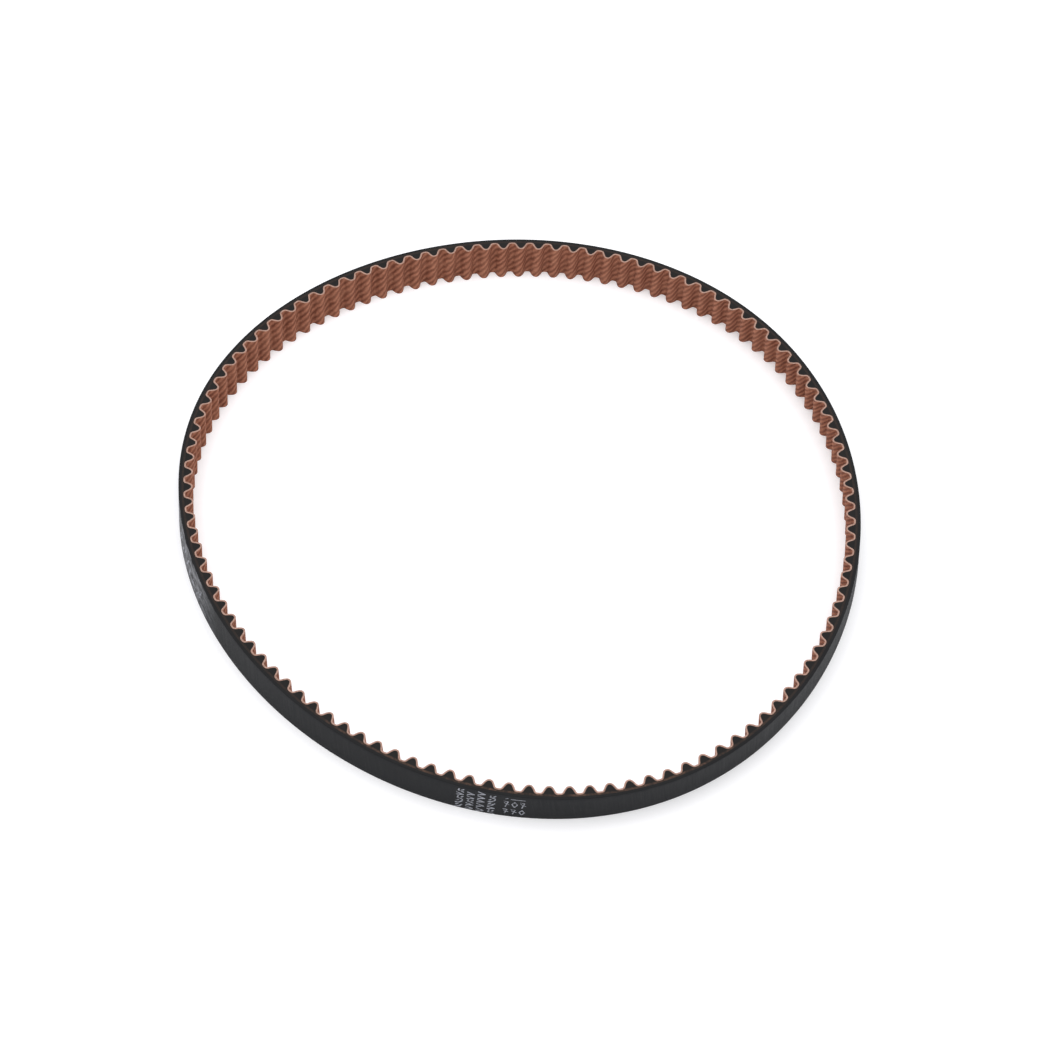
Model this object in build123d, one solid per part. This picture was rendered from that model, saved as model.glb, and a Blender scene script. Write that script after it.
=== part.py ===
"""Endless synchronous (timing) belt with curvilinear teeth, standing on one cut edge as a free loop.

The belt's width runs along +Z.  Its cords lie on the pitch line, whose length is the tooth count
times the pitch.  At rest the loop is an egg-shaped oval: a closed chain of tangent arcs that all
turn through the same angle, so every layer of the belt is the same chain, offset in or out.  The
free belt also leans a little: its upper edge is more oval than its lower one, and the chain's length
is the same at every height, because the cords don't stretch.
Offsets from the pitch line are positive towards the back of the belt.  Millimetres throughout.
"""
from build123d import *
from bisect import bisect_right
from math import cos, hypot, pi, radians, sin, sqrt
import os

# ---- driving dimensions ------------------------------------------------------------------------
TOOTH_COUNT = 112
PITCH = 3.0
BELT_WIDTH = 6.4
BELT_THICKNESS = 2.25         # back face to tooth tip
TOOTH_HEIGHT = 1.22
TOOTH_ROOT_WIDTH = 2.12
FLANK_RADIUS = 3.0            # each flank is struck from the other side of its tooth
FLANK_CENTRE_DEPTH = 0.9      # from the land surface to the flanks' centres, towards the back
ROOT_FILLET = 0.36
TIP_FILLET = 0.66
PITCH_LINE_HEIGHT = 0.381     # land surface to cord centre
FABRIC_THICKNESS = 0.18
CORD_DIAMETER = 0.34
CORD_SPACINGS = 12            # gaps between cord centres from one cut edge to the other

# ---- shape of the free loop --------------------------------------------------------------------
ARC_COUNT = 24
OVAL_SIZE = 1.53              # how far the loop is drawn out at the two ends of its long axis
OVAL_ANGLE = radians(-52)
LEAN_SIZE = 0.67              # how much more the upper edge is drawn out than the lower one
LEAN_ANGLE = radians(-68)
EGG_SIZE = 1.1                # how far the loop is drawn out at each of its three blunt corners
EGG_ANGLE = radians(45.5)
FIRST_TOOTH = 0.25            # arc length from the +X side to the first tooth's centre

# ---- worked-out sizes --------------------------------------------------------------------------
PITCH_LENGTH = TOOTH_COUNT * PITCH
MEAN_RADIUS = PITCH_LENGTH / (2 * pi)
ARC_TURN = 2 * pi / ARC_COUNT
LAND = -PITCH_LINE_HEIGHT
BACK = BELT_THICKNESS - TOOTH_HEIGHT - PITCH_LINE_HEIGHT
CORD_RADIUS = CORD_DIAMETER / 2
CORD_SPACING = BELT_WIDTH / CORD_SPACINGS
HALF_ROOT = TOOTH_ROOT_WIDTH / 2


def direction(angle):
    """Unit vector at an angle from +X, in the plane of the loop."""
    return Vector(cos(angle), sin(angle))


class Ring:
    """The chain of tangent arcs at one height.  Every ring's pitch line has the same length."""

    def __init__(self, height):
        lean = LEAN_SIZE * (height / BELT_WIDTH - 0.5)
        self.height = height
        self.radii = []
        for index in range(ARC_COUNT):
            middle = (index + 0.5) * ARC_TURN
            oval = OVAL_SIZE * cos(2 * (middle - OVAL_ANGLE)) + lean * cos(2 * (middle - LEAN_ANGLE))
            egg = EGG_SIZE * cos(3 * (middle - EGG_ANGLE))
            self.radii.append(MEAN_RADIUS - 3 * oval - 8 * egg)
        self.starts = [ARC_TURN * sum(self.radii[:index]) for index in range(ARC_COUNT)]
        self.centres = [Vector(0, 0)]
        for index in range(1, ARC_COUNT):
            step = self.radii[index - 1] - self.radii[index]
            self.centres.append(self.centres[-1] + direction(index * ARC_TURN) * step)
        self.centres = [centre - self.middle() for centre in self.centres]

    def middle(self):
        """Middle of the ring's box: its extremes are at the joints a quarter turn apart."""
        quarter = ARC_COUNT // 4
        east, north, west, south = (
            self.centres[index] + direction(index * ARC_TURN) * self.radii[index]
            for index in range(0, ARC_COUNT, quarter)
        )
        return Vector((east.X + west.X) / 2, (north.Y + south.Y) / 2)

    def point(self, length, offset):
        """The point at an arc length along the pitch line from the +X side, offset from that line."""
        length %= PITCH_LENGTH
        index = bisect_right(self.starts, length) - 1
        angle = index * ARC_TURN + (length - self.starts[index]) / self.radii[index]
        flat = self.centres[index] + direction(angle) * (self.radii[index] + offset)
        return flat + Vector(0, 0, self.height)

    def smooth_arcs(self, offset):
        """The closed chain of arcs at an offset from the pitch line."""
        arcs = []
        for index, (centre, radius) in enumerate(zip(self.centres, self.radii)):
            lifted = centre + Vector(0, 0, self.height)
            ends = [lifted + direction((index + part) * ARC_TURN) * (radius + offset) for part in (0, 0.5, 1)]
            arcs.append(ThreePointArc(*ends))
        return arcs

    def toothed_arcs(self, depth):
        """The closed outline of lands and teeth, at a depth below the fabric's surface."""
        arcs = []
        profile = tooth_arcs(depth)
        foot = profile[-1][-1][0]
        land = [(foot, -depth), (PITCH / 2, -depth), (PITCH - foot, -depth)]
        for tooth in range(TOOTH_COUNT):
            middle = FIRST_TOOTH + tooth * PITCH
            for points in profile + [land]:
                ends = [self.point(middle + along, LAND - rise) for along, rise in points]
                arcs.append(ThreePointArc(*ends))
        return arcs


def tooth_arcs(depth):
    """The arcs of one tooth, from left root to right root, as point triples (along, inwards from the land).

    depth is 0 on the fabric's outer surface and the fabric's thickness on the rubber below it, so both
    outlines share their centres.
    """
    flank = (sqrt(FLANK_RADIUS ** 2 - FLANK_CENTRE_DEPTH ** 2) - HALF_ROOT, -FLANK_CENTRE_DEPTH)

    def fillet_centre(rise, distance):
        """A fillet's centre, at a rise above the land and a distance from the flank's centre."""
        return (flank[0] - sqrt(distance ** 2 - (rise + FLANK_CENTRE_DEPTH) ** 2), rise)

    root = fillet_centre(ROOT_FILLET, FLANK_RADIUS + ROOT_FILLET)
    tip = fillet_centre(TOOTH_HEIGHT - TIP_FILLET, FLANK_RADIUS - TIP_FILLET)

    def towards(start, end, distance):
        reach = hypot(end[0] - start[0], end[1] - start[1])
        return tuple(a + (b - a) * distance / reach for a, b in zip(start, end))

    def arc(centre, start, end):
        """An arc's start, middle and end, all as far from the centre as the start."""
        radius = hypot(start[0] - centre[0], start[1] - centre[1])
        halfway = ((start[0] + end[0]) / 2, (start[1] + end[1]) / 2)
        return (start, towards(centre, halfway, radius), end)

    foot = (root[0], -depth)
    low = towards(root, flank, ROOT_FILLET + depth)
    high = towards(flank, tip, FLANK_RADIUS - depth)
    shoulder = (tip[0], TOOTH_HEIGHT - depth)
    left = [arc(root, foot, low), arc(flank, low, high), arc(tip, high, shoulder)]
    right = [tuple((-along, rise) for along, rise in reversed(points)) for points in reversed(left)]
    crown = (shoulder, (0, shoulder[1]), right[0][0])
    return left + [crown] + right


LOWER_EDGE = Ring(0)
UPPER_EDGE = Ring(BELT_WIDTH)


def wall(lower, upper):
    """Ruled faces from each arc of a lower outline to the same arc of the upper one."""
    return [Face.make_surface_from_curves(low, high) for low, high in zip(lower, upper)]


def band(outer, inner):
    """The closed solid between two outlines, each a function of the ring, from edge to edge."""
    faces = [Face(Wire(outer(ring)), [Wire(inner(ring))]) for ring in (LOWER_EDGE, UPPER_EDGE)]
    for outline in (outer, inner):
        faces += wall(outline(LOWER_EDGE), outline(UPPER_EDGE))
    return Solid(Shell(faces))


def cord_turn(height):
    """One turn of a cord: a closed ring of round section, cut in half along the belt's cut edges."""
    ring = Ring(height)
    path = Wire(ring.smooth_arcs(0))
    if 0 < height < BELT_WIDTH:
        plane = Plane(origin=ring.point(0, 0), x_dir=(1, 0, 0), z_dir=(0, 1, 0))
        return sweep(plane * Circle(CORD_RADIUS), path=path).solid()
    inwards = 1 if height == 0 else -1
    eighths = [
        ring.point(0, 0) + Vector(cos(turn), 0, inwards * sin(turn)) * CORD_RADIUS
        for turn in (0, pi / 4, pi / 2, 3 * pi / 4, pi)
    ]
    outline = [ThreePointArc(*eighths[:3]), ThreePointArc(*eighths[2:]), Line(eighths[4], eighths[0])]
    return sweep(make_face(outline), path=path, clean=False).solid()


def cord(first):
    """One cord: every second turn, starting from the given one."""
    return Compound([cord_turn(turn * CORD_SPACING) for turn in range(first, CORD_SPACINGS + 1, 2)])


def export(shape, name):
    export_step(shape, f"parts/{name}.step")
    print(name, len(shape.solids()), round(shape.volume, 3))


def main():
    os.makedirs("parts", exist_ok=True)
    cord_s = cord(0)
    cord_z = cord(1)
    channels = list(cord_s.solids()) + list(cord_z.solids())
    export(cord_s, "tension_cord_s")
    export(cord_z, "tension_cord_z")
    backing = band(lambda ring: ring.smooth_arcs(BACK), lambda ring: ring.smooth_arcs(0))
    teeth = band(lambda ring: ring.smooth_arcs(0), lambda ring: ring.toothed_arcs(FABRIC_THICKNESS))
    facing = band(lambda ring: ring.toothed_arcs(FABRIC_THICKNESS), lambda ring: ring.toothed_arcs(0))
    export(backing - channels, "backing_rubber")
    export(teeth - channels, "tooth_rubber")
    export(facing, "facing_fabric")


main()
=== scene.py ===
"""The timing belt's looks: a free belt standing on one cut edge, on a white studio floor.

Lengths are in millimetres until a mesh is made; the meshes are in metres, in the row frame.
"""
import random
from math import cos, hypot, pi, radians, sin, sqrt

import bpy
import numpy as np
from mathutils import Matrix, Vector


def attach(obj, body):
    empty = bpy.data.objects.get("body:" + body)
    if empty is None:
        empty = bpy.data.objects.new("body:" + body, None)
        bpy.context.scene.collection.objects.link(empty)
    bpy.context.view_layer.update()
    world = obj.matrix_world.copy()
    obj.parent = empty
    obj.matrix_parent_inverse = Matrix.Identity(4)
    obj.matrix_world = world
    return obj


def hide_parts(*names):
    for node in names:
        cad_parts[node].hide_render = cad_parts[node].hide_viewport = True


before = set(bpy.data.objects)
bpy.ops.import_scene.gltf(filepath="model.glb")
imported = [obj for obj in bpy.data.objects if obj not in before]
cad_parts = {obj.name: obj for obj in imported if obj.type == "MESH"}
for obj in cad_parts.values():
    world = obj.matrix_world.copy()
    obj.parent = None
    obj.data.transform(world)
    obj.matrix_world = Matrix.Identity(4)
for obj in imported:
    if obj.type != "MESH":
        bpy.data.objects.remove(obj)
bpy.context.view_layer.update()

# ---- the belt's sizes ----------------------------------------------------------------------------
TOOTH_COUNT = 112
PITCH = 3.0
WIDTH = 6.4
THICKNESS = 2.25              # back face to tooth tip
TOOTH_HEIGHT = 1.22
HALF_ROOT = 1.06              # half a tooth's width at its root
FLANK_RADIUS = 3.0
FLANK_CENTRE_DEPTH = 0.9      # from the land surface to the flanks' centres, towards the back
ROOT_FILLET = 0.36
TIP_FILLET = 0.66
LAND = -0.381                 # offset of the facing's surface between teeth, from the pitch line
BACK = THICKNESS - TOOTH_HEIGHT + LAND
CORD_RADIUS = 0.17
FACING_THICKNESS = 0.18
FRAYED_THICKNESS = 0.25       # the facing's upper cut edge, spread over the rubber by the knife
FRAY_HEIGHT = 0.012           # how far that edge stands proud of the rubber
BACK_ROUNDING = 0.07          # radius of the back's two corners
PITCH_LENGTH = TOOTH_COUNT * PITCH
MEAN_RADIUS = PITCH_LENGTH / (2 * pi)
FIRST_TOOTH = 0.25            # arc length from the +X side to the first tooth's centre

# ---- the free loop's shape: a closed chain of arcs that turn through equal angles ------------------
ARC_COUNT = 24
ARC_TURN = 2 * pi / ARC_COUNT
OVAL_SIZE = 1.53              # how far the loop is drawn out at the two ends of its long axis
OVAL_ANGLE = radians(-52)
LEAN_SIZE = 0.67              # how much more the upper edge is drawn out than the lower one
LEAN_ANGLE = radians(-68)
EGG_SIZE = 1.1                # how far the loop is drawn out at each of its three blunt corners
EGG_ANGLE = radians(45.5)


class Ring:
    """The chain of arcs at the lower cut edge (lean -0.5) or at the upper one (lean 0.5)."""

    def __init__(self, lean):
        middles = (np.arange(ARC_COUNT) + 0.5) * ARC_TURN
        oval = OVAL_SIZE * np.cos(2 * (middles - OVAL_ANGLE))
        oval += lean * LEAN_SIZE * np.cos(2 * (middles - LEAN_ANGLE))
        egg = EGG_SIZE * np.cos(3 * (middles - EGG_ANGLE))
        self.radii = MEAN_RADIUS - 3 * oval - 8 * egg
        self.starts = ARC_TURN * np.concatenate([[0], np.cumsum(self.radii)[:-1]])
        joints = np.arange(ARC_COUNT) * ARC_TURN
        directions = np.stack([np.cos(joints), np.sin(joints)], 1)
        steps = directions[1:] * (self.radii[:-1] - self.radii[1:])[:, None]
        self.centres = np.concatenate([np.zeros((1, 2)), np.cumsum(steps, 0)])
        ends = (self.centres + directions * self.radii[:, None])[:: ARC_COUNT // 4]
        self.centres -= [(ends[0, 0] + ends[2, 0]) / 2, (ends[1, 1] + ends[3, 1]) / 2]

    def points(self, lengths, offsets):
        """Points in the plane, at arc lengths along the pitch line and offsets from it."""
        lengths = np.mod(lengths, PITCH_LENGTH)
        index = np.clip(np.searchsorted(self.starts, lengths, "right") - 1, 0, ARC_COUNT - 1)
        angles = index * ARC_TURN + (lengths - self.starts[index]) / self.radii[index]
        reach = (self.radii[index] + offsets)[:, None]
        return self.centres[index] + np.stack([np.cos(angles), np.sin(angles)], 1) * reach


LOWER_EDGE = Ring(-0.5)
UPPER_EDGE = Ring(0.5)


def place(lengths, offsets, heights):
    """Points of the belt at arc lengths, offsets from the pitch line and heights above the lower edge."""
    lengths, offsets, heights = np.broadcast_arrays(lengths, offsets, heights)
    share = (heights / WIDTH)[:, None]
    flat = (1 - share) * LOWER_EDGE.points(lengths, offsets) + share * UPPER_EDGE.points(lengths, offsets)
    return np.concatenate([flat, heights[:, None]], 1)


def tooth_profile(depth, arc_steps):
    """One pitch, from land middle to land middle, as (along, rise) rows, at a depth below the surface."""
    flank = np.array([sqrt(FLANK_RADIUS ** 2 - FLANK_CENTRE_DEPTH ** 2) - HALF_ROOT, -FLANK_CENTRE_DEPTH])

    def fillet_centre(rise, distance):
        return np.array([flank[0] - sqrt(distance ** 2 - (rise + FLANK_CENTRE_DEPTH) ** 2), rise])

    root = fillet_centre(ROOT_FILLET, FLANK_RADIUS + ROOT_FILLET)
    tip = fillet_centre(TOOTH_HEIGHT - TIP_FILLET, FLANK_RADIUS - TIP_FILLET)
    low = root + (flank - root) / hypot(*(flank - root)) * (ROOT_FILLET + depth)
    high = flank + (tip - flank) / hypot(*(tip - flank)) * (FLANK_RADIUS - depth)

    def arc(centre, start, end, steps):
        first = np.arctan2(*(start - centre)[::-1])
        turn = (np.arctan2(*(end - centre)[::-1]) - first + pi) % (2 * pi) - pi
        angles = first + turn * np.linspace(0, 1, steps + 1)[:-1]
        return centre + hypot(*(start - centre)) * np.stack([np.cos(angles), np.sin(angles)], 1)

    foot = np.array([root[0], -depth])
    shoulder = np.array([tip[0], TOOTH_HEIGHT - depth])
    land = np.linspace([-PITCH / 2, -depth], foot, 4)[:-1]
    half = [land, arc(root, foot, low, arc_steps), arc(flank, low, high, 2 * arc_steps)]
    half += [arc(tip, high, shoulder, 2 * arc_steps), [shoulder]]
    left = np.concatenate(half)
    right = left[::-1] * [-1, 1]
    return np.concatenate([left, [[0.0, TOOTH_HEIGHT - depth]], right[:-1]])


def toothed_outline(depth, arc_steps):
    """Arc lengths and offsets round the whole belt, and the length along the tooth surface for the weave."""
    profile = tooth_profile(depth, arc_steps)
    closed = np.concatenate([profile, [profile[0] + [PITCH, 0]]])
    along_surface = np.concatenate([[0], np.cumsum(np.hypot(*np.diff(closed, axis=0).T))])
    teeth = np.arange(TOOTH_COUNT)[:, None]
    lengths = (FIRST_TOOTH + teeth * PITCH + profile[:, 0]).ravel()
    offsets = np.tile(LAND - profile[:, 1], TOOTH_COUNT)
    surface = (teeth * along_surface[-1] + along_surface[:-1]).ravel()
    return lengths, offsets, surface, TOOTH_COUNT * along_surface[-1]


def grid_faces(rows, columns, flip=False):
    """Quads of a grid whose columns close on themselves."""
    row = np.arange(rows - 1)[:, None] * columns
    column = np.arange(columns)[None, :]
    following = (column + 1) % columns
    quads = np.stack([row + column, row + following, row + columns + following, row + columns + column], -1)
    quads = quads.reshape(-1, 4)
    return quads[:, ::-1] if flip else quads


def make_mesh(name, points, quads, coordinates, materials, indices=None, smooth=True):
    """A mesh object in metres.  coordinates holds each face corner's (length, height) in millimetres."""
    mesh = bpy.data.meshes.new(name)
    mesh.vertices.add(len(points))
    mesh.vertices.foreach_set("co", (np.asarray(points) / 1000).astype(np.float32).ravel())
    mesh.loops.add(quads.size)
    mesh.loops.foreach_set("vertex_index", quads.astype(np.int32).ravel())
    mesh.polygons.add(len(quads))
    mesh.polygons.foreach_set("loop_start", np.arange(0, quads.size, 4, dtype=np.int32))
    if indices is not None:
        mesh.polygons.foreach_set("material_index", np.asarray(indices, np.int32))
    mesh.polygons.foreach_set("use_smooth", np.full(len(quads), smooth))
    layer = mesh.uv_layers.new(name="belt_mm")
    layer.data.foreach_set("uv", np.asarray(coordinates, np.float32).ravel())
    mesh.update(calc_edges=True)
    mesh.validate()
    for material in materials:
        mesh.materials.append(material)
    made = bpy.data.objects.new(name, mesh)
    bpy.context.scene.collection.objects.link(made)
    return made


def corner_coordinates(columns, lengths, total, heights, flip=False):
    """(length, height) at each corner of grid_faces' quads; the last column closes at the total length."""
    wide = np.concatenate([lengths, [total]])
    low, high = heights[:-1, None], heights[1:, None]
    near, far = wide[None, :-1], wide[None, 1:]
    corners = [(near, low), (far, low), (far, high), (near, high)]
    if flip:
        corners = corners[::-1]
    pairs = [np.stack(np.broadcast_arrays(a, b), -1) for a, b in corners]
    return np.stack(pairs, 2).reshape(-1, 2)


# ---- materials -----------------------------------------------------------------------------------
class Nodes:
    """A small helper for writing a material's node tree."""

    def __init__(self, name):
        self.material = bpy.data.materials.new(name)
        self.material.use_nodes = True
        self.tree = self.material.node_tree
        self.shader = self.tree.nodes["Principled BSDF"]

    def add(self, kind, values=None, **settings):
        node = self.tree.nodes.new(kind)
        for key, value in settings.items():
            setattr(node, key, value)
        for key, value in (values or {}).items():
            if isinstance(value, bpy.types.NodeSocket):
                self.tree.links.new(value, node.inputs[key])
            else:
                node.inputs[key].default_value = value
        return node

    def math(self, operation, a, b=0.0, clamp=False):
        return self.add("ShaderNodeMath", {0: a, 1: b}, operation=operation, use_clamp=clamp).outputs[0]

    def mix(self, share, a, b):
        node = self.add("ShaderNodeMix", data_type="RGBA")
        for socket, value in ((node.inputs[0], share), (node.inputs[6], a), (node.inputs[7], b)):
            if isinstance(value, bpy.types.NodeSocket):
                self.tree.links.new(value, socket)
            else:
                socket.default_value = value
        return node.outputs[2]

    def noise(self, vector, scale, detail=3.0, roughness=0.55):
        values = {"Vector": vector, "Scale": scale, "Detail": detail, "Roughness": roughness}
        return self.add("ShaderNodeTexNoise", values).outputs[0]

    def stretch(self, vector, scale):
        return self.add("ShaderNodeMapping", {"Vector": vector, "Scale": scale}).outputs[0]

    def range(self, value, low, high, to_low=0.0, to_high=1.0):
        values = {0: value, 1: low, 2: high, 3: to_low, 4: to_high}
        return self.add("ShaderNodeMapRange", values).outputs[0]

    def finish(self, colour, roughness, height=None, bump=0.0, specular=0.5):
        inputs = {"Base Color": colour, "Roughness": roughness, "Specular IOR Level": specular}
        for key, value in inputs.items():
            if isinstance(value, bpy.types.NodeSocket):
                self.tree.links.new(value, self.shader.inputs[key])
            else:
                self.shader.inputs[key].default_value = value
        if height is not None:
            node = self.add("ShaderNodeBump", {"Height": height, "Strength": 1.0, "Distance": bump / 1000})
            self.tree.links.new(node.outputs[0], self.shader.inputs["Normal"])
        return self.material


def belt_coordinates(nodes):
    """(length along the belt, height) in millimetres."""
    return nodes.add("ShaderNodeUVMap", uv_map="belt_mm").outputs[0]


def solid_coordinates(nodes):
    """The point in the row frame, in millimetres."""
    point = nodes.add("ShaderNodeTexCoord").outputs["Object"]
    return nodes.stretch(point, (1000, 1000, 1000))


HAZE_START = (162.0, 167.0)   # arc lengths over which the pale haze on the back, partly worn rubber and partly painted reflection, begins
HAZE_END = (193.0, 186.0)     # and, from bare to full, over which it ends


def back_rubber_material():
    """Ground black rubber: fine lines across the belt, a soft sheen, specks of dust and a pale haze that is
    partly wear and partly painted reflection.
    """
    nodes = Nodes("back_rubber")
    point = belt_coordinates(nodes)
    solid = solid_coordinates(nodes)
    lines = nodes.noise(nodes.stretch(point, (5.0, 0.12, 1)), 1.0, 4.0, 0.7)
    grain = nodes.noise(solid, 9.0, 3.0)
    cloud = nodes.noise(nodes.stretch(point, (0.05, 0.2, 1)), 1.0, 3.0)
    dust = nodes.range(nodes.noise(nodes.stretch(point, (1.3, 2.0, 1)), 1.0, 5.0, 0.8), 0.62, 0.8)
    tone = nodes.mix(cloud, (0.0045, 0.0049, 0.0058, 1), (0.0095, 0.0103, 0.012, 1))
    tone = nodes.mix(nodes.range(lines, 0.45, 0.75, 0.0, 0.35), tone, (0.02, 0.0215, 0.025, 1))
    tone = nodes.mix(nodes.math("MULTIPLY", dust, 0.25), tone, (0.09, 0.09, 0.095, 1))
    split = nodes.add("ShaderNodeSeparateXYZ", {0: point})
    starts = nodes.range(split.outputs[0], *HAZE_START)
    ends = nodes.range(split.outputs[0], *HAZE_END)
    smear = nodes.range(nodes.noise(nodes.stretch(point, (0.45, 0.95, 1)), 1.0, 5.0, 0.75), 0.4, 0.62)
    # the haze at the left end is partly worn rubber and partly a painted reflection of light
    haze = nodes.math("MULTIPLY", nodes.math("MULTIPLY", starts, ends), nodes.math("MULTIPLY", smear, 0.75))
    tone = nodes.mix(haze, tone, (0.25, 0.255, 0.275, 1))
    height = nodes.math("ADD", lines, nodes.math("MULTIPLY", grain, 0.5))
    rough = nodes.range(lines, 0.3, 0.7, 0.5, 0.66)
    return nodes.finish(tone, rough, height, 0.03, 0.11)


def cut_rubber_material(name, base):
    """Rubber on the slit edge: matt, finely torn, with pale specks."""
    nodes = Nodes(name)
    solid = solid_coordinates(nodes)
    grain = nodes.noise(solid, 7.0, 4.0, 0.7)
    specks = nodes.range(nodes.noise(solid, 3.2, 5.0, 0.8), 0.66, 0.78)
    patches = nodes.noise(solid, 0.12, 3.0)
    dark = tuple(0.75 * part for part in base) + (1,)
    light = tuple(1.4 * part for part in base) + (1,)
    tone = nodes.mix(patches, dark, light)
    tone = nodes.mix(nodes.math("MULTIPLY", specks, 0.3), tone, (0.11, 0.1, 0.095, 1))
    return nodes.finish(tone, 0.72, grain, 0.04, 0.13)


TWILL_ALONG = 1.15            # spacing of the twill's ribs along the belt
TWILL_UP = 1.3                # spacing of the ribs up the width
TWILL_WANDER = 0.9            # how many rib spacings the ribs wander
THREAD_SPACING = 0.36         # spacing of the threads that cross the ribs


def wave(nodes, turns):
    """A smooth wave from 0 to 1, with its maximum at each whole turn."""
    sine = nodes.math("COSINE", nodes.math("MULTIPLY", turns, 2 * pi))
    return nodes.range(sine, -1.0, 1.0)


def twill(nodes, point):
    """Height of the twill's ribs, 0 in the grooves and 1 on the ribs, and of the threads across them."""
    split = nodes.add("ShaderNodeSeparateXYZ", {0: point})
    along = nodes.math("DIVIDE", split.outputs[0], TWILL_ALONG)
    up = nodes.math("DIVIDE", split.outputs[1], TWILL_UP)
    wander = nodes.noise(nodes.stretch(point, (0.6, 0.6, 1)), 1.0, 2.0)
    turns = nodes.math("ADD", nodes.math("ADD", along, up), nodes.math("MULTIPLY", wander, TWILL_WANDER))
    slant = nodes.math("SUBTRACT", split.outputs[0], split.outputs[1])
    across = nodes.math("DIVIDE", slant, THREAD_SPACING)
    return wave(nodes, turns), wave(nodes, across)


def facing_material():
    """Brown nylon twill, with painted shade in the grooves and ribs that are paler, partly from wear."""
    nodes = Nodes("facing_twill")
    point = belt_coordinates(nodes)
    solid = solid_coordinates(nodes)
    ribs, threads = twill(nodes, point)
    cloud = nodes.noise(solid, 0.35, 4.0, 0.6)
    fleck = nodes.noise(solid, 5.0, 3.0, 0.7)
    worn = nodes.noise(nodes.stretch(point, (1.6, 1.6, 1)), 1.0, 3.0, 0.7)
    ribs = nodes.math("MULTIPLY", ribs, nodes.range(worn, 0.3, 0.7, 0.55, 1.15), True)
    # colour follows the rib height: painted shade darkens the grooves, the ribs stay paler
    tone = nodes.mix(ribs, (0.148, 0.049, 0.028, 1), (0.4, 0.163, 0.099, 1))
    tone = nodes.mix(nodes.math("MULTIPLY", threads, 0.3), tone, (0.15, 0.051, 0.029, 1))
    tone = nodes.mix(nodes.range(cloud, 0.4, 0.75, 0.0, 0.3), tone, (0.44, 0.2, 0.125, 1))
    tone = nodes.mix(nodes.range(fleck, 0.6, 0.8, 0.0, 0.4), tone, (0.52, 0.28, 0.2, 1))
    height = nodes.math("ADD", ribs, nodes.math("MULTIPLY", threads, 0.3))
    return nodes.finish(tone, 0.8, height, 0.09, 0.15)


def cut_fabric_material():
    """The facing's cut edge: pale frayed nylon ends."""
    nodes = Nodes("facing_cut_edge")
    solid = solid_coordinates(nodes)
    ends = nodes.noise(solid, 6.0, 4.0, 0.7)
    cloud = nodes.noise(solid, 0.3, 2.0)
    tone = nodes.mix(nodes.range(ends, 0.35, 0.65), (0.2, 0.11, 0.08, 1), (0.52, 0.34, 0.28, 1))
    tone = nodes.mix(nodes.range(cloud, 0.3, 0.7, 0.0, 0.4), tone, (0.42, 0.25, 0.2, 1))
    return nodes.finish(tone, 0.85, ends, 0.05, 0.2)


CORDS_BARE = -50.0            # the cords show most where the loop is nearer the front than this Y
CORDS_DARK_BEHIND = -38.0         # and are darker behind this one


def cord_material():
    """Tan treated glass fibre, with rubber smeared over it by the slitting knife, and darker towards the back
    of the loop.
    """
    nodes = Nodes("tension_cord")
    solid = solid_coordinates(nodes)
    strands = nodes.noise(solid, 3.5, 3.0, 0.7)
    smear = nodes.noise(solid, 0.5, 3.0, 0.6)
    tone = nodes.mix(nodes.range(strands, 0.35, 0.65), (0.032, 0.021, 0.017, 1), (0.12, 0.068, 0.048, 1))
    split = nodes.add("ShaderNodeSeparateXYZ", {0: solid})
    # the cords get darker towards the back of the loop
    away = nodes.range(split.outputs[1], CORDS_BARE, CORDS_DARK_BEHIND, 0.0, 0.85)
    smear_and_darkening = nodes.math("MAXIMUM", nodes.range(smear, 0.42, 0.58, 0.25, 0.85), away)
    tone = nodes.mix(smear_and_darkening, tone, (0.016, 0.014, 0.0135, 1))
    return nodes.finish(tone, 0.75, strands, 0.04, 0.15)


def ink_material():
    """Pale ink, worn through to the rubber in places."""
    nodes = Nodes("worn_ink")
    solid = solid_coordinates(nodes)
    wear = nodes.noise(solid, 2.2, 4.0, 0.75)
    fade = nodes.noise(solid, 0.25, 2.0)
    share = nodes.math("ADD", nodes.range(wear, 0.38, 0.55), nodes.range(fade, 0.35, 0.65, -0.2, 0.2), True)
    tone = nodes.mix(share, (0.04, 0.041, 0.046, 1), (0.3, 0.31, 0.35, 1))
    return nodes.finish(tone, 0.7, wear, 0.01, 0.3)


# ---- pieces --------------------------------------------------------------------------------------
ARC_STEPS = 3                 # faces along a root fillet; the flank and the crown's fillet have twice as many
WIDTH_STEPS = 8               # rows of faces up a broad surface
SHARP_TURN = radians(50)      # edges that turn by more than this are shaded as sharp


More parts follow.
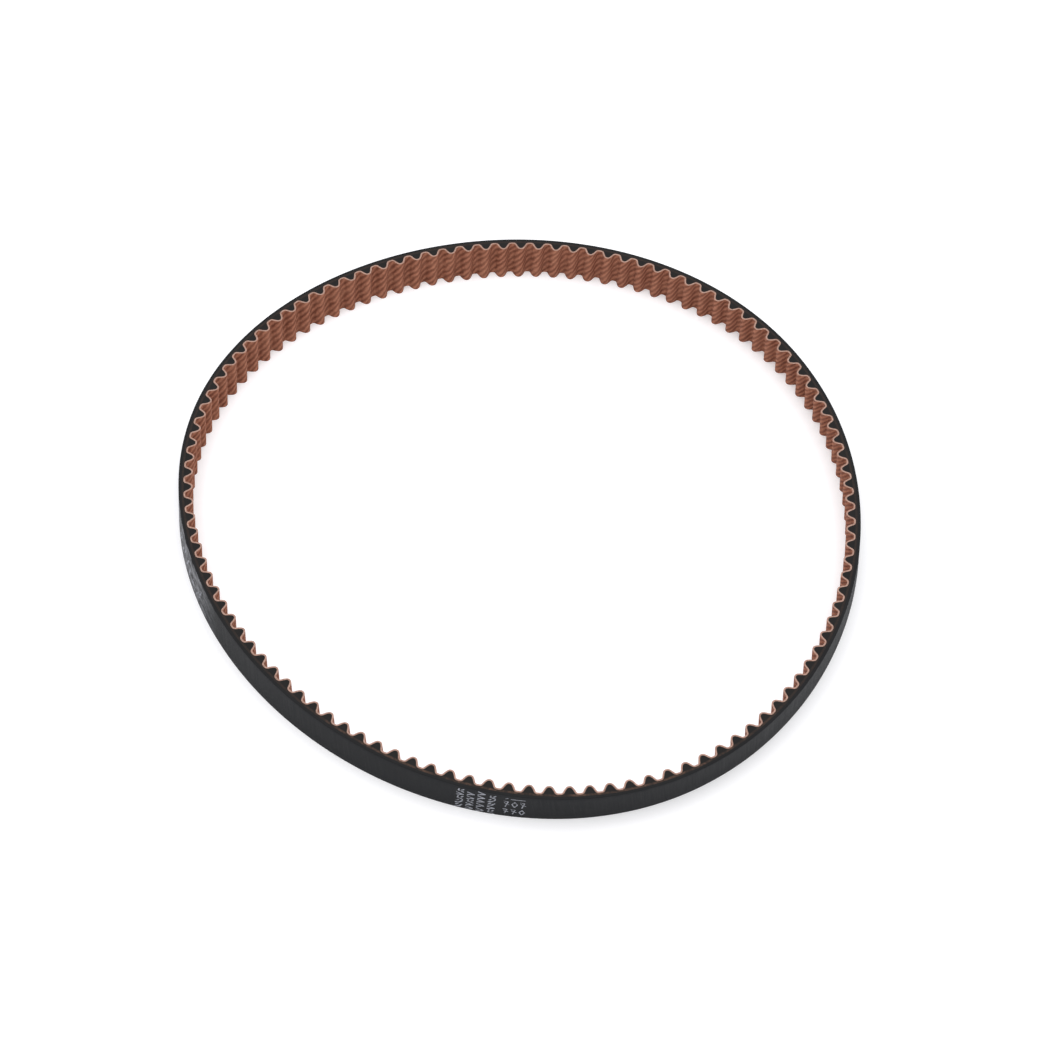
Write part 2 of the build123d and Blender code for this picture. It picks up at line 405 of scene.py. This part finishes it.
def facing_cloth(cloth, cut_edge):
    """The fabric facing: its surface, its underside and both cut edges, as one closed mesh."""
    lengths, offsets, surface, total = toothed_outline(0, ARC_STEPS)
    low_lengths, low_offsets, _, _ = toothed_outline(FACING_THICKNESS, ARC_STEPS)
    high_lengths, high_offsets, _, _ = toothed_outline(FRAYED_THICKNESS, ARC_STEPS)
    columns = len(lengths)
    top = WIDTH + FRAY_HEIGHT
    heights = np.linspace(0, top, WIDTH_STEPS + 1)
    sheets = [place(lengths, offsets, height) for height in heights]
    sheets += [place(high_lengths, high_offsets, top)]
    sheets += [place(low_lengths, low_offsets, 0.0)]
    count = len(sheets) * columns
    rows = len(sheets) + 1
    hidden_heights = [WIDTH + FACING_THICKNESS, -2 * FACING_THICKNESS, -FACING_THICKNESS]
    coordinates = corner_coordinates(columns, surface, total, np.concatenate([heights, hidden_heights]), True)
    quads = grid_faces(rows, columns, True) % count
    indices = np.repeat([0] * WIDTH_STEPS + [1, 0, 1], columns)
    made = make_mesh("facing_cloth", np.concatenate(sheets), quads, coordinates, [cloth, cut_edge], indices)
    made.data.set_sharp_from_angle(angle=SHARP_TURN)
    return made


BACK_COLUMNS = 12 * TOOTH_COUNT
CORNER_STEPS = 4              # faces round each of the back's two corners


def ground_back(back, cut):
    """The backing rubber: outer face, rounded corners, both cut edges and the face on the cords."""
    columns = BACK_COLUMNS
    lengths = np.arange(columns) * PITCH_LENGTH / columns
    turn = np.linspace(0, pi / 2, CORNER_STEPS + 1)
    low_corner = [(BACK - BACK_ROUNDING * (1 - sin(a)), BACK_ROUNDING * (1 - cos(a))) for a in turn]
    high_corner = [(offset, WIDTH - height) for offset, height in reversed(low_corner)]
    heights = np.linspace(BACK_ROUNDING, WIDTH - BACK_ROUNDING, WIDTH_STEPS + 1)
    middle = [(BACK, height) for height in heights[1:-1]]
    section = [(CORD_RADIUS, 0.0)] + low_corner + middle + high_corner + [(CORD_RADIUS, WIDTH)]
    run = np.concatenate([[0], np.cumsum(np.hypot(*np.diff(np.array(section), axis=0).T))])
    run -= run[len(low_corner)]
    sheets = [place(lengths, offset, height) for offset, height in section]
    quads = grid_faces(len(sheets) + 1, columns) % (len(sheets) * columns)
    outside = corner_coordinates(columns, lengths, PITCH_LENGTH, run)
    coordinates = np.concatenate([outside, np.zeros((4 * columns, 2))])
    indices = np.repeat([1] + [0] * (len(sheets) - 3) + [1, 1], columns)
    made = make_mesh("ground_back", np.concatenate(sheets), quads, coordinates, [back, cut], indices)
    made.data.set_sharp_from_angle(angle=SHARP_TURN)
    return made


PRINT_SLANT = 0.16            # how far the print leans along the belt, for each unit of height
PRINT_SHIFT = 0.35            # how far all the print is moved back along the belt
STROKE_OVERLAP = 0.35         # how far a stroke runs past its ends, in stroke widths
INK_OFFSETS = (BACK - 0.01, BACK + 0.012)   # the ink's underside, sunk in the rubber, and its face


class Strokes:
    """Thin strokes of ink on the back, collected into one mesh."""

    def __init__(self):
        self.points = []
        self.quads = []

    def line(self, path, width=0.2):
        """A stroke along a path of (arc length, height) points."""
        path = [
            np.array([length - PRINT_SHIFT - PRINT_SLANT * (WIDTH - height), height])
            for length, height in path
        ]
        for start, end in zip(path[:-1], path[1:]):
            along = (end - start) / hypot(*(end - start)) * width / 2
            across = np.array([-along[1], along[0]])
            start = start - 2 * STROKE_OVERLAP * along
            end = end + 2 * STROKE_OVERLAP * along
            corners = np.array([start - across, end - across, end + across, start + across])
            first = 8 * len(self.points)
            layers = [place(corners[:, 0], offset, corners[:, 1]) for offset in INK_OFFSETS]
            self.points.append(np.concatenate(layers))
            faces = [(3, 2, 1, 0), (4, 5, 6, 7)]
            faces += [(side, (side + 1) % 4, (side + 1) % 4 + 4, side + 4) for side in range(4)]
            self.quads += [[first + corner for corner in face] for face in faces]

    def piece(self, name, material):
        quads = np.array(self.quads)
        flat = np.zeros((quads.size, 2))
        return make_mesh(name, np.concatenate(self.points), quads, flat, [material], smooth=False)


COLUMNS_START = 242.3         # arc length of the first of the print's columns
COLUMN_SPACING = 1.58
COLUMN_WIDTH = 1.0
ROWS_START = 249.3            # arc length at which the print's rows begin
CELL_SPACING = 1.2
CELL_WIDTH = 0.8
BARS_RANGE = (165.0, 188.0)   # arc lengths between which the worn bars lie


def print_columns():
    """Four narrow columns of zigzags and ticks that run up the width."""
    chance = random.Random(5)
    strokes = Strokes()
    for column in range(4):
        left = COLUMNS_START + column * COLUMN_SPACING
        right = left + COLUMN_WIDTH
        low = 0.25
        while low < WIDTH - 0.9:
            tall = chance.uniform(0.85, 1.25)
            kind = chance.randrange(3)
            if kind == 0:
                strokes.line([(left, low), (right, low + 0.35 * tall), (left, low + 0.7 * tall)])
            elif kind == 1:
                strokes.line([(right, low), (left + 0.2, low + 0.3 * tall), (left + 0.3, low + 0.8 * tall)])
                strokes.line([(right - 0.3, low + 0.5 * tall), (right, low + 0.9 * tall)])
            else:
                strokes.line([(left, low), (left + 0.6, low + 0.2 * tall), (right, low + 0.8 * tall)])
                strokes.line([(left + 0.1, low + 0.5 * tall), (left + 0.4, low + 0.8 * tall)])
            low += tall + chance.uniform(0.02, 0.14)
    return strokes


def print_rows():
    """Two short rows of ticks and diamonds along the belt, under a tick and a thin dash."""
    strokes = Strokes()
    strokes.line([(ROWS_START + 0.2, 5.35), (ROWS_START + 0.5, 5.6)], 0.13)
    strokes.line([(ROWS_START + 1.0, 5.35), (ROWS_START + 3.0, 5.35)], 0.15)
    for low, tall in ((0.9, 1.35), (3.0, 1.6)):
        for cell in range(3):
            left = ROWS_START + CELL_SPACING * cell
            middle = left + CELL_WIDTH / 2
            right = left + CELL_WIDTH
            high = low + tall
            waist = low + tall / 2
            if (cell + (low > 2)) % 3 == 2:
                diamond = [(middle, low), (right, waist), (middle, high), (left, waist), (middle, low)]
                strokes.line(diamond, 0.15)
            else:
                strokes.line([(left, high), (left + 0.6, high - 0.1), (left + 0.3, low)], 0.16)
                strokes.line([(left + 0.1, low + 0.7 * tall), (right, low + 0.4 * tall)], 0.13)
    return strokes


def print_bars():
    """Worn slanting strokes, uneven in length and spacing, on the left side."""
    chance = random.Random(7)
    strokes = Strokes()
    start, last = BARS_RANGE
    while start < last:
        low = chance.uniform(0.5, 3.2)
        high = min(low + chance.uniform(1.2, 2.8), 6.0)
        slant = chance.uniform(-0.9, 1.4)
        strokes.line([(start, low), (start + slant, high)], chance.uniform(0.2, 0.4))
        start += chance.uniform(0.7, 2.0)
    return strokes


back_rubber = back_rubber_material()
cut_back = cut_rubber_material("cut_backing_rubber", (0.0125, 0.0125, 0.0132))
cut_tooth = cut_rubber_material("cut_tooth_rubber", (0.0125, 0.0115, 0.0112))
worn_ink = ink_material()
treated_cord = cord_material()

cloth = facing_cloth(facing_material(), cut_fabric_material())
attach(cloth, "root")
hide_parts("facing_fabric")

backing = ground_back(back_rubber, cut_back)
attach(backing, "root")
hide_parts("backing_rubber")

prints = {"ink_columns": print_columns(), "ink_rows": print_rows(), "ink_bars": print_bars()}
for name, strokes in prints.items():
    piece = strokes.piece(name, worn_ink)
    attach(piece, "root")

kept_nodes = {"tooth_rubber": cut_tooth, "tension_cord_s": treated_cord, "tension_cord_z": treated_cord}
for name, material in kept_nodes.items():
    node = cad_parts[name]
    node.data.materials.clear()
    node.data.materials.append(material)

# ---- studio --------------------------------------------------------------------------------------
FLOOR_REACH = 3.0             # metres from the belt to each side of the floor
FLOOR_GLOW = 0.24             # light that the floor gives off, so that it stays white round the belt

floor_mesh = bpy.data.meshes.new("floor")
floor_corners = [(x * FLOOR_REACH, y * FLOOR_REACH, 0) for x, y in ((-1, -1), (1, -1), (1, 1), (-1, 1))]
floor_mesh.from_pydata(floor_corners, [], [(0, 1, 2, 3)])
floor = bpy.data.objects.new("floor", floor_mesh)
bpy.context.scene.collection.objects.link(floor)
paper = Nodes("white_paper")
paper.shader.inputs["Emission Color"].default_value = (1, 1, 1, 1)
paper.shader.inputs["Emission Strength"].default_value = FLOOR_GLOW
floor_mesh.materials.append(paper.finish((0.85, 0.85, 0.87, 1), 0.9, specular=0.1))

scene = bpy.context.scene
world = bpy.data.worlds.new("studio")
scene.world = world
world.use_nodes = True
world.node_tree.nodes["Background"].inputs[0].default_value = (1, 1, 1, 1)
world.node_tree.nodes["Background"].inputs[1].default_value = 1.0


def softbox(name, place_at, aim, size, power):
    """A rectangular light that points at its aim, in metres and watts."""
    light = bpy.data.lights.new(name, "AREA")
    light.shape = "RECTANGLE"
    light.size, light.size_y = size
    light.energy = power
    made = bpy.data.objects.new(name, light)
    scene.collection.objects.link(made)
    made.location = place_at
    towards = Vector(aim) - Vector(place_at)
    made.rotation_euler = towards.to_track_quat("-Z", "Y").to_euler()


softbox("overhead", (0.0, 0.05, 0.9), (0, 0, 0), (0.8, 0.6), 3.0)

ELEVATION = radians(53.421)
DISTANCE = 0.421              # metres from the camera to the point it looks at
AIM_X = 0.0011185             # that point, in the plane of the upper cut edge
AIM_Y = -0.005298

camera_data = bpy.data.cameras.new("camera")
camera_data.sensor_width = 36
camera_data.lens = 92.85
camera_data.clip_start = 0.01
camera_data.dof.use_dof = False
camera = bpy.data.objects.new("camera", camera_data)
scene.collection.objects.link(camera)
camera.location = (AIM_X, AIM_Y - DISTANCE * cos(ELEVATION), WIDTH / 1000 + DISTANCE * sin(ELEVATION))
camera.rotation_euler = (pi / 2 - ELEVATION, 0, 0)
scene.camera = camera
scene.view_settings.view_transform = "Standard"
scene.view_settings.look = "None"
